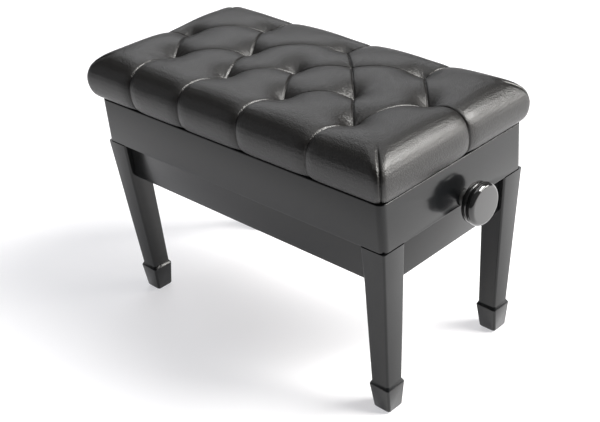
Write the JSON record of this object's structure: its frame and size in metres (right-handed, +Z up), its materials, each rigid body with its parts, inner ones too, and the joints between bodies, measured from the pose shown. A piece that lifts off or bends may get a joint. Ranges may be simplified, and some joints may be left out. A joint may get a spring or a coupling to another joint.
{
  "type": "piano bench",
  "caption": "Height-adjustable piano bench with a tufted leather cushion, a lacquered skirt and square tapered legs, raised by a scissor lift on a knobbed spindle.",
  "frame": {"origin": "on the floor, under the centre of the bench", "axes": "+Z up, +X along the length of the bench, the front faces -Y"},
  "size_m": [0.734, 0.361, 0.4743],
  "materials": {
    "black_lacquer": "satin-gloss black lacquer on hardwood",
    "inner_wood": "plain sanded softwood and plywood, unfinished",
    "foam": "open-cell upholstery foam",
    "black_leather": "pebble-grained black leatherette, semi-gloss",
    "black_steel": "black powder coat; the spindle is chemically blackened",
    "zinc_steel": "bright zinc plate",
    "knob_lacquer": "polished black",
    "glide_plastic": "moulded black nylon"
  },
  "bodies": {
    "lower_frame": {"leg_front_left": "black_lacquer", "leg_front_right": "black_lacquer", "leg_rear_left": "black_lacquer", "leg_rear_right": "black_lacquer", "foot_glide_front_left": "glide_plastic", "foot_glide_front_right": "glide_plastic", "foot_glide_rear_left": "glide_plastic", "foot_glide_rear_right": "glide_plastic", "corner_bracket_front_left": "zinc_steel", "corner_bracket_front_right": "zinc_steel", "corner_bracket_rear_left": "zinc_steel", "corner_bracket_rear_right": "zinc_steel", "leg_bolt_front_left": "zinc_steel", "leg_bolt_front_right": "zinc_steel", "leg_bolt_rear_left": "zinc_steel", "leg_bolt_rear_right": "zinc_steel", "leg_nut_front_left": "zinc_steel", "leg_nut_front_right": "zinc_steel", "leg_nut_rear_left": "zinc_steel", "leg_nut_rear_right": "zinc_steel", "rail_front": "black_lacquer", "rail_rear": "black_lacquer", "rail_left": "black_lacquer", "rail_right": "black_lacquer", "batten_left": "inner_wood", "batten_right": "inner_wood", "lower_channel_front": "black_steel", "lower_channel_rear": "black_steel", "lower_pivot_front": "zinc_steel", "lower_pivot_rear": "zinc_steel"},
    "seat": {"skirt_front": "black_lacquer", "skirt_rear": "black_lacquer", "skirt_left": "black_lacquer", "skirt_right": "black_lacquer", "seat_board": "inner_wood", "foam_pad": "foam", "cushion_cover": "black_leather", "upper_plate_front": "black_steel", "upper_plate_rear": "black_steel", "upper_pivot_front": "zinc_steel", "upper_pivot_rear": "zinc_steel", "spindle_bearing_left": "black_steel", "spindle_bearing_right": "black_steel", "shaft_bush_left": "glide_plastic", "shaft_bush_right": "glide_plastic"},
    "arms_a": {"arm_a_front": "black_steel", "arm_a_rear": "black_steel"},
    "arms_b": {"arm_b_front": "black_steel", "arm_b_rear": "black_steel", "centre_rod": "zinc_steel", "slider_rod": "zinc_steel"},
    "nut_bar": {"nut_bar": "zinc_steel"},
    "spindle": {"spindle": "black_steel", "knob_left": "knob_lacquer", "knob_right": "knob_lacquer"}
  },
  "joints": [
    {"name": "seat_lift", "type": "slide", "parent": "lower_frame", "child": "seat", "axis": [0, 0, 1], "range_m": [0, 0.07]},
    {"name": "arm_a_swing", "type": "hinge", "parent": "lower_frame", "child": "arms_a", "pos_m": [-0.21, 0.017, 0.2833], "axis": [0, -1, 0], "range_deg": [0, 9.73]},
    {"name": "arm_b_swing", "type": "hinge", "parent": "seat", "child": "arms_b", "pos_m": [-0.21, 0.017, 0.324], "axis": [0, 1, 0], "range_deg": [0, 9.73]},
    {"name": "nut_slide", "type": "slide", "parent": "seat", "child": "nut_bar", "axis": [-1, 0, 0], "range_m": [0, 0.0129]},
    {"name": "spindle_turn", "type": "hinge", "parent": "seat", "child": "spindle", "pos_m": [0, 0.017, 0.324], "axis": [1, 0, 0], "range_deg": [0, 1545.5]}
  ],
  "couplings": [
    {"joint": "arm_a_swing", "follows": "seat_lift", "rad_per_m": 2.4238},
    {"joint": "arm_b_swing", "follows": "seat_lift", "rad_per_m": 2.4238},
    {"joint": "nut_slide", "follows": "seat_lift", "ratio": 0.18392},
    {"joint": "spindle_turn", "follows": "seat_lift", "rad_per_m": 385.21}
  ]
}
